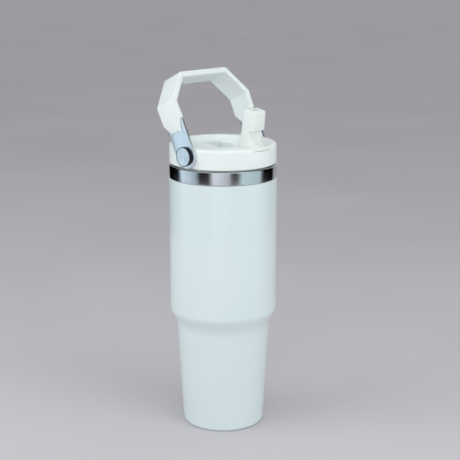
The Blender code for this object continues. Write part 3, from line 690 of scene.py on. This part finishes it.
def make_lid_body(plastic):
    low = LID_LOW
    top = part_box("lid_shell")[1].z
    radius = LID_RADIUS
    corners = [(0.0, low, 0.0), (radius, low, 0.5 * MM), (radius, top, LID_EDGE), (0.0, top, 0.0)]
    lid = turned("lid_body", rounded(corners))
    inside_lid = 2.5 * MM
    housing_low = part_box("lid_shell")[0].z
    housing = rod(
        "add_housing",
        HOUSING_RADIUS,
        (0.0, HOUSING_Y, housing_low),
        (0.0, HOUSING_Y, low + inside_lid),
    )
    carve(lid, [housing], "UNION")
    carve(lid, [recess_cutter()])
    carve(lid, [trough_cutter(), notch_cutter(top), *side_cutters(-1.0), *side_cutters(1.0)])
    soften(lid, 0.3 * MM, 2, 40.0)
    pins = PIN_OUTER + GAP
    carve(
        lid,
        [
            rod("cut_port", PORT_RADIUS, (0.0, STRAW_Y, LID_CUT_LOW), (0.0, STRAW_Y, low + inside_lid)),
            rod("cut_vent", VENT_RADIUS, (0.0, VENT_Y, LID_CUT_LOW), (0.0, VENT_Y, top)),
            rod("cut_pins", PIN_RADIUS + GAP, (-pins, HINGE_Y, HINGE_Z), (pins, HINGE_Y, HINGE_Z)),
        ],
    )
    finish_piece(lid, "lid", plastic, "lid_plastic", "lid_shell")


def make_lid_plug(plastic):
    low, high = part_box("lid_plug")
    gasket_low, gasket_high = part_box("lid_gasket")
    radius = PLUG_RADIUS
    groove = GROOVE_RADIUS
    edge = 0.8 * MM
    profile = [(0.0, PLUG_PLATE_LOW), (PLUG_SKIRT_INNER, PLUG_PLATE_LOW), (PLUG_SKIRT_INNER, low.z)]
    profile += [(PLUG_THREAD_ROOT - edge, low.z), (PLUG_THREAD_ROOT, low.z + edge)]
    profile += thread_rows(PLUG_THREAD_ROOT, THREAD_DEPTH)
    profile += [(radius, THREAD_HIGH + edge), (radius, gasket_low.z - GAP)]
    profile += [(groove, gasket_low.z - GAP), (groove, gasket_high.z + GAP)]
    profile += [(radius, gasket_high.z + GAP), (radius, high.z), (radius - PLUG_WALL, high.z)]
    profile += [(radius - PLUG_WALL, PLUG_PLATE_TOP), (0.0, PLUG_PLATE_TOP)]
    plug = turned("thread_plug", profile)
    tools = []
    for hole, y in ((PORT_RADIUS, STRAW_Y), (VALVE_STEM + GAP, VENT_Y)):
        tools.append(rod("cut_hole", hole, (0.0, y, low.z), (0.0, y, high.z)))
    finish_piece(carve(plug, tools), "lid", plastic, "lid_plastic", "lid_plug")


def make_seals(silicone):
    low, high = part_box("lid_gasket")
    inner = high.x - 2.4 * MM
    lip = 0.8 * MM
    profile = [(inner, low.z)]
    for base in (low.z, (low.z + high.z) / 2.0):
        middle = base + (high.z - low.z) / 4.0
        profile += arc((high.x - lip, middle), lip, -90.0, 90.0, 8)
    profile.append((inner, high.z))
    finish_piece(turned("gasket_ring", profile), "gasket", silicone, "silicone", "lid_gasket")
    low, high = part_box("vent_valve")
    cap = PLUG_PLATE_TOP + GAP
    head = high.x
    corners = [
        (0.0, low.z, 0.0),
        (VALVE_STEM, low.z + 0.4 * MM, 0.4 * MM),
        (VALVE_STEM + 1.0 * MM, PLUG_PLATE_LOW - GAP, 0.15 * MM),
        (VALVE_STEM, PLUG_PLATE_LOW - GAP, 0.1 * MM),
        (VALVE_STEM, cap, 0.1 * MM),
        (head, cap, 0.2 * MM),
        (head - 0.5 * MM, high.z - 0.3 * MM, 0.3 * MM),
        (0.0, high.z, 0.0),
    ]
    valve = turned("air_valve", rounded(corners, 4), SMALL, VENT_Y)
    finish_piece(valve, "lid", silicone, "silicone", "vent_valve")


def make_straw(clear_plastic, white_plastic):
    low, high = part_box("straw_socket")
    flange_top = PLUG_PLATE_LOW - GAP
    flange_low = flange_top - FLANGE_THICKNESS
    tube = STRAW_RADIUS + GAP
    outer = tube + SOCKET_WALL
    flange = high.x
    spigot = PORT_RADIUS - GAP
    small = 0.3 * MM
    corners = [
        (SOCKET_BORE, SOCKET_SHOULDER, 0.0),
        (tube, SOCKET_SHOULDER, small),
        (tube, low.z, small),
        (outer, low.z, small),
        (outer, flange_low, small),
        (flange, flange_low, small),
        (flange, flange_top, small),
        (spigot, flange_top, small),
        (spigot, high.z, small),
        (SOCKET_BORE, high.z, 0.0),
    ]
    socket = turned("straw_adapter", rounded(corners, 3), SMALL, STRAW_Y)
    finish_piece(socket, "lid", white_plastic, "lid_plastic", "straw_socket")
    low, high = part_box("straw")
    edge = 0.25 * MM
    corners = [
        (STRAW_BORE, (low.z + high.z) / 2.0, 0.0),
        (STRAW_BORE, low.z, edge),
        (STRAW_RADIUS, low.z, edge),
        (STRAW_RADIUS, high.z, edge),
        (STRAW_BORE, high.z, edge),
        (STRAW_BORE, (low.z + high.z) / 2.0 + edge, 0.0),
    ]
    straw = turned("straw_tube", rounded(corners, 3), SMALL, STRAW_Y)
    finish_piece(straw, "straw", clear_plastic, "straw_plastic", "straw")


# Spout


def spout_ring(bm, height, slope, front, front_round, inset):
    """One cross-section of the spout; the inset narrows it all round, and the slope raises its back."""
    share = (height - HINGE_Z) / (SPOUT_TOP - HINGE_Z)
    back = STEM_BACK + (MOUTH_BACK - STEM_BACK) * share - inset
    front += inset
    half = SPOUT_HALF - inset
    corners = [(-half, front, front_round), (half, front, front_round)]
    corners += [(half, back, BACK_ROUND), (-half, back, BACK_ROUND)]
    middle = 0.5 * (MOUTH_FRONT + MOUTH_BACK)
    ring = []
    for x, y in closed_round(corners, 8):
        ring.append(bm.verts.new((x, HINGE_Y + y, height + slope * (y - middle))))
    return ring


def spout_column():
    """Stem and mouthpiece; the mouthpiece overhangs the stem, and its top is square to the bore."""
    bm = bmesh.new()
    rings = [spout_ring(bm, HINGE_Z, 0.0, STEM_FRONT, STEM_ROUND, 0.0)]
    lip = 0.5 * MM
    rings.append(spout_ring(bm, STEP_Z - lip, 0.0, STEM_FRONT, STEM_ROUND, 0.0))
    for step in range(5):
        turn = math.radians(90.0 * step / 4.0)
        front = MOUTH_STEP + lip * (1.0 - math.sin(turn))
        height = STEP_Z + lip * (1.0 - math.cos(turn))
        rings.append(spout_ring(bm, height, 0.0, front, MOUTH_ROUND, 0.0))
    for step in range(9):
        turn = math.radians(90.0 * step / 8.0)
        inset = MOUTH_EDGE * (1.0 - math.cos(turn))
        height = SPOUT_TOP - MOUTH_EDGE * (1.0 - math.sin(turn))
        rings.append(spout_ring(bm, height, MOUTH_SLOPE, MOUTH_FRONT, MOUTH_ROUND, inset))
    for first, second in zip(rings, rings[1:]):
        join_rings(bm, first, second)
    bm.faces.new(rings[0])
    bm.faces.new(rings[-1])
    return to_object("mouth_spout", bm)


def spout_heel(deck):
    """The foot in front of the stem and its wider heel, which fill the notch in the lid's rim."""
    stem = HINGE_Y + STEM_FRONT
    foot = [(HINGE_Y, HEEL_LOW), (HINGE_Y, deck + STEM_FILLET)]
    foot += arc((stem - STEM_FILLET, deck + STEM_FILLET), STEM_FILLET, 0.0, -90.0, 12)
    foot += [(-SIDE_CUT_END, deck), (-SIDE_CUT_END, HEEL_LOW)]
    heel = prism("add_foot", foot, -BARREL_HALF, BARREL_HALF, along_x)
    wing = heel_arc(HEEL_SWING, HEEL_LOW, deck)
    wing += [(-SIDE_CUT_END, deck), (-SIDE_CUT_END, HEEL_LOW)]
    carve(heel, [prism("add_heel", wing, -HEEL_HALF, HEEL_HALF, along_x)], "UNION")
    limit = [(0.0, 0.0), (HEEL_FRONT, 0.0)]
    limit += arc((HEEL_FRONT - LID_EDGE, deck - LID_EDGE), LID_EDGE, 0.0, 84.0, 8)
    limit += [(HEEL_FRONT - LID_EDGE, STEP_Z), (0.0, STEP_Z)]
    carve(heel, [turned("trim_heel", limit)], "INTERSECT")
    return soften(heel, 0.3 * MM, 2, 40.0)


def make_spout(plastic):
    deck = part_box("lid_shell")[1].z
    spout = spout_column()
    outline = arc((HINGE_Y, HINGE_Z), BARREL_RADIUS, 0.0, 354.0, 59)
    barrel = prism("add_barrel", outline, -BARREL_HALF, BARREL_HALF, along_x)
    soften(barrel, 0.5 * MM, 3, 60.0)
    carve(spout, [barrel, spout_heel(deck)], "UNION")
    pins = PIN_OUTER + GAP
    tools = [rod("cut_spout_bore", SPOUT_BORE, BORE_START, BORE_END)]
    for side in (-1.0, 1.0):
        start = (side * PIN_HOLE_END, HINGE_Y, HINGE_Z)
        tools.append(rod("cut_pin", PIN_RADIUS + GAP, start, (side * pins, HINGE_Y, HINGE_Z)))
    carve(spout, tools)
    finish_piece(spout, "spout", plastic, "spout_plastic", "spout")


# Handle


def make_grip(plastic):
    """Moulded carry loop: softened bends, tapered ends and slots for the plates' tongues."""
    outer = [(u, v, OUTER_BEND) for u, v in GRIP_OUTER]
    inner = [(u, v, INNER_BEND) for u, v in GRIP_INNER]
    outer += [(-u, v, radius) for u, v, radius in reversed(outer)]
    inner += [(-u, v, radius) for u, v, radius in reversed(inner)]
    grip = prism("carry_grip", rounded(outer, 5) + rounded(inner, 5)[::-1], STRAP_FRONT, STRAP_BACK, in_loop)
    below = GRIP_END - GAP
    tools = []
    for side, face in ((-1.0, STRAP_FRONT), (1.0, STRAP_BACK)):
        end = side * GRIP_END_HALF
        wide = side * CUT_HALF
        taper = [(face, GRIP_TAPER), (end, GRIP_END), (end, below), (wide, below), (wide, GRIP_TAPER)]
        tools.append(prism("cut_taper", taper, -SIDE_CUT_END, SIDE_CUT_END, strap_side))
    carve(grip, tools)
    soften(grip, 0.9 * MM, 4, 40.0)
    shoulder = PLATE_SHOULDER + GAP
    half = TONGUE_HALF + GAP
    end = TONGUE_END + GAP
    slots = []
    for side in (-1.0, 1.0):
        outline = [(-CUT_HALF, below), (CUT_HALF, below), (CUT_HALF, shoulder)]
        outline += [(half, shoulder), (half, end), (-half, end), (-half, shoulder)]
        outline.append((-CUT_HALF, shoulder))
        near, far = sorted((side * (PLATE_INNER - GAP), side * (PLATE_OUTER + GAP)))
        slot = prism("cut_slot", outline, near, far, strap_side)
        start, finish = (in_loop(u, TONGUE_POST_V, 0.0) for u in (near - GAP, far + GAP))
        carve(slot, [rod("cut_post", POST_RADIUS, start, finish)])
        slots.append(slot)
    carve(grip, slots)
    finish_piece(grip, "handle", plastic, "grip_plastic", "handle_grip")


def make_plate(side, name, steel):
    outline = arc((0.0, 0.0), PLATE_HALF, 180.0, 360.0, 48)
    outline += [(PLATE_HALF, PLATE_SHOULDER), (TONGUE_HALF, PLATE_SHOULDER)]
    outline += [(TONGUE_HALF, TONGUE_END), (-TONGUE_HALF, TONGUE_END)]
    outline += [(-TONGUE_HALF, PLATE_SHOULDER), (-PLATE_HALF, PLATE_SHOULDER)]
    near, far = sorted((side * PLATE_INNER, side * PLATE_OUTER))
    plate = prism(f"side_plate_{name}", outline, near, far, strap_side)
    soften(plate, 0.25 * MM, 3, 50.0)
    tools = []
    for radius, v in ((BOLT_HOLE_RADIUS, 0.0), (POST_RADIUS + GAP, TONGUE_POST_V)):
        start, finish = (in_loop(u, v, 0.0) for u in (near - GAP, far + GAP))
        tools.append(rod("cut_hole", radius, start, finish))
    finish_piece(carve(plate, tools), "handle", steel, "plate_steel", f"handle_plate_{name}")


def turned_sideways(name, profile, side):
    """A shape turned about the handle's pivot axis, from (radius, distance from the middle)."""
    obj = turned(name, profile, MEDIUM)
    turn = Matrix.Rotation(side * math.pi / 2.0, 4, "Y")
    obj.data.transform(Matrix.Translation((0.0, 0.0, PIVOT_Z)) @ turn)
    return obj


def make_pivot(side, name, spun, nylon):
    """Screw with a slightly dished, spun head, and the washer behind the plate."""
    under_head = PLATE_OUTER + GAP
    rim = BOLT_RIM
    dish = 0.12 * MM
    corners = [
        (0.0, BOLT_END, 0.0),
        (BOLT_RADIUS, BOLT_END, 0.4 * MM),
        (BOLT_RADIUS, under_head, 0.1 * MM),
        (BOLT_HEAD_RADIUS, under_head, 0.2 * MM),
        (BOLT_HEAD_RADIUS, BOLT_FACE, 0.25 * MM),
        (BOLT_HEAD_RADIUS - rim, BOLT_FACE, 0.2 * MM),
        (BOLT_HEAD_RADIUS - rim - dish, BOLT_FACE - dish, 0.1 * MM),
        (0.0, BOLT_FACE - dish, 0.0),
    ]
    screw = turned_sideways(f"pivot_screw_{name}", rounded(corners, 5), side)
    finish_piece(screw, "lid", spun, "bolt_steel", f"pivot_bolt_{name}")
    hole = BOLT_HOLE_RADIUS
    top = PLATE_INNER - GAP
    low = top - WASHER_THICKNESS
    small = 0.15 * MM
    corners = [(hole, low, 0.0), (WASHER_RADIUS, low, small), (WASHER_RADIUS, top, small)]
    corners += [(hole, top, small), (hole, low + small, 0.0)]
    washer = turned_sideways(f"nylon_washer_{name}", rounded(corners, 3), side)
    finish_piece(washer, "lid", nylon, "washer_nylon", f"pivot_washer_{name}")


# Stage


def camera_frame(turn):
    """Unit vectors towards the camera's side of the object and to its right, turned round the object."""
    angle = CAMERA_TURN - turn
    towards = Vector((-math.sin(angle), -math.cos(angle), 0.0))
    return towards, Vector((math.cos(angle), -math.sin(angle), 0.0))


def add_light(name, turn, distance, height, size, power, colour):
    """A softbox that faces the tumbler, at an angle round it from the camera's side."""
    data = bpy.data.lights.new(name, "AREA")
    data.shape = "RECTANGLE"
    data.size, data.size_y = size
    data.energy = power
    data.color = colour
    light = bpy.data.objects.new(name, data)
    bpy.context.scene.collection.objects.link(light)
    towards, _ = camera_frame(math.radians(turn))
    light.location = towards * distance + Vector((0.0, 0.0, height))
    aim = Vector((0.0, 0.0, LIGHT_AIM)) - light.location
    light.rotation_euler = aim.to_track_quat("-Z", "Y").to_euler()
    light.visible_camera = False


def card_look(name, colour, strength):
    """A card that fades out where its cover does; it shines, or is black where the strength is 0."""
    look = bpy.data.materials.new(name)
    look.use_nodes = True
    tree = look.node_tree
    tree.nodes.clear()
    cover = tree.nodes.new("ShaderNodeVertexColor")
    cover.layer_name = "cover"
    clear = tree.nodes.new("ShaderNodeBsdfTransparent")
    shine = add_node(tree, "ShaderNodeEmission", Color=(*colour, 1.0), Strength=strength)
    both = tree.nodes.new("ShaderNodeMixShader")
    out = tree.nodes.new("ShaderNodeOutputMaterial")
    tree.links.new(cover.outputs["Color"], both.inputs["Fac"])
    tree.links.new(clear.outputs["BSDF"], both.inputs[1])
    tree.links.new(shine.outputs["Emission"], both.inputs[2])
    tree.links.new(both.outputs["Shader"], out.inputs["Surface"])
    return look


def add_card(name, look, distance, stops):
    """An upright card on an arc round the tumbler, seen only in reflections, from (turn, cover) stops."""
    bm = bmesh.new()
    layer = bm.verts.layers.float_color.new("cover")
    columns = []
    for (start, first), (end, second) in zip(stops, stops[1:]):
        for step in range(CARD_STEPS + (end == stops[-1][0])):
            share = step / CARD_STEPS
            towards, _ = camera_frame(math.radians(start + (end - start) * share))
            foot = towards * distance + Vector((0.0, 0.0, CARD_LOW))
            column = [bm.verts.new(foot), bm.verts.new(foot + Vector((0.0, 0.0, CARD_HEIGHT)))]
            value = first + (second - first) * share
            for vert in column:
                vert[layer] = (value, value, value, 1.0)
            columns.append(column)
    for first, second in zip(columns, columns[1:]):
        bm.faces.new([first[0], second[0], second[1], first[1]])
    card = to_object(name, bm)
    card.data.materials.append(look)
    for way in ("camera", "diffuse", "transmission", "volume_scatter", "shadow"):
        setattr(card, f"visible_{way}", False)


def make_stage():
    bm = bmesh.new()
    bmesh.ops.create_grid(bm, x_segments=8, y_segments=8, size=FLOOR_HALF)
    floor = to_object("floor", bm)
    floor.data.materials.append(floor_look())
    world = bpy.data.worlds.new("studio")
    world.use_nodes = True
    background = world.node_tree.nodes["Background"]
    background.inputs["Color"].default_value = (0.955, 0.97, 1.0, 1.0)
    background.inputs["Strength"].default_value = 0.57
    bpy.context.scene.world = world
    add_light("left_softbox", -72.0, 0.90, 0.50, (0.80, 0.56), 3.6, (0.95, 0.985, 1.0))
    add_light("right_softbox", 46.0, 0.90, 0.50, (0.60, 0.56), 2.9, (0.95, 0.995, 0.99))
    add_light("top_softbox", 20.0, 0.35, 1.3, (1.2, 1.2), 2.5, (1.0, 0.99, 0.97))
    add_light("front_fill", 0.0, 1.6, 0.55, (1.4, 1.0), 3.3, (1.0, 0.99, 0.97))
    black = card_look("card_black", (0.0, 0.0, 0.0), 0.0)
    white = card_look("card_white", (0.80, 0.82, 0.88), 1.0)
    blue = card_look("card_blue", (0.66, 0.81, 0.92), 1.0)
    teal = card_look("card_teal", (0.50, 0.64, 0.67), 1.0)
    left_stops = ((-90, 0), (-70, 0.25), (-56, 0.55), (-49, 0.97), (-29, 1), (-19, 0))
    right_stops = ((-14, 0), (4, 0.25), (12, 0.35), (18, 0.9), (29, 0.96), (40, 0))
    for name, look, distance, stops in (
        ("black_far_left", black, BLACK_DISTANCE, ((-156, 1), (-105, 1), (-94, 0))),
        ("black_left", black, BLACK_DISTANCE, left_stops),
        ("black_right", black, BLACK_DISTANCE, right_stops),
        ("black_far_right", black, BLACK_DISTANCE, ((80, 0), (92, 1), (128, 1), (131, 0))),
        ("blue_left", blue, BRIGHT_DISTANCE, ((-112, 0.6), (-98, 1), (-50, 1))),
        ("white_front", white, BRIGHT_DISTANCE, ((-30, 1), (-18, 1), (0, 0.9), (20, 0.6))),
        ("teal_right", teal, BRIGHT_DISTANCE, ((24, 0.7), (42, 1), (86, 1))),
    ):
        add_card(name, look, distance, stops)


def make_camera():
    data = bpy.data.cameras.new("camera")
    data.lens = CAMERA_LENS
    data.sensor_width = CAMERA_SENSOR
    camera = bpy.data.objects.new("camera", data)
    bpy.context.scene.collection.objects.link(camera)
    towards, right = camera_frame(0.0)
    camera.location = towards * CAMERA_DISTANCE + Vector((0.0, 0.0, CAMERA_HEIGHT))
    level = -towards * math.cos(CAMERA_YAW) + right * math.sin(CAMERA_YAW)
    aim = level * math.cos(CAMERA_PITCH) - Vector((0.0, 0.0, math.sin(CAMERA_PITCH)))
    camera.rotation_euler = aim.to_track_quat("-Z", "Y").to_euler()
    bpy.context.scene.camera = camera
    bpy.context.scene.view_settings.view_transform = "Standard"


def dress_cad(looks):
    """Materials for the CAD nodes that stay shown."""
    for node, look in looks.items():
        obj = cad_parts[node]
        obj.data.materials.clear()
        obj.data.materials.append(look)


def main():
    coat = coat_look()
    lid_plastic = plastic_look("lid_plastic", (0.80, 0.865, 0.85), (0.82, 0.88, 0.86))
    spout_plastic = plastic_look("spout_plastic", (0.79, 0.845, 0.81), (0.81, 0.86, 0.83))
    grip_plastic = plastic_look("grip_plastic", (0.79, 0.855, 0.84), (0.815, 0.87, 0.85))
    straw_plastic = plastic_look("straw_plastic", (0.86, 0.88, 0.86), (0.9, 0.91, 0.9), (0.2, 0.3), 0.6)
    nylon = plastic_look("nylon", (0.03, 0.03, 0.033), (0.045, 0.045, 0.05))
    band = steel_look("band_steel", (0.78, 0.81, 0.84), (6.0, 6.0, 5200.0), (0.10, 0.20))
    liner = steel_look("liner_steel", (0.62, 0.63, 0.64), (8.0, 8.0, 2600.0), (0.25, 0.38))
    plate = steel_look(
        "plate_steel", (0.86, 0.93, 0.98), (3000.0, 3000.0, 25.0), (0.22, 0.30), (LEAN, 0.0, 0.0), 0.0, 0.2
    )
    spun = spun_look(
        "spun_steel", (0.80, 0.87, 0.92), (0.0, 0.0, PIVOT_Z), BOLT_HEAD_RADIUS - BOLT_RIM
    )
    dull = steel_look("dull_metal", (0.36, 0.35, 0.34), (900.0, 900.0, 900.0), (0.5, 0.65), stretch=0.0)
    solder = steel_look("solder", (0.52, 0.52, 0.52), (700.0, 700.0, 700.0), (0.3, 0.45), stretch=0.0)
    brass = steel_look("brass", (0.76, 0.58, 0.29), (3000.0, 60.0, 60.0), (0.28, 0.4), stretch=0.0)
    silicone = silicone_look()
    make_cup(coat, band, liner)
    make_lid_body(lid_plastic)
    make_lid_plug(lid_plastic)
    make_seals(silicone)
    make_straw(straw_plastic, lid_plastic)
    make_spout(spout_plastic)
    make_grip(grip_plastic)
    for side, name in ((-1.0, "left"), (1.0, "right")):
        make_plate(side, name, plate)
        make_pivot(side, name, spun, nylon)
    dress_cad(
        {
            "vacuum_base_pan": liner,
            "getter": dull,
            "seal_solder": solder,
            "port_seal": silicone,
            "spout_pin_left": spun,
            "spout_pin_right": spun,
            "pivot_insert_left": brass,
            "pivot_insert_right": brass,
        }
    )
    make_stage()
    make_camera()


main()
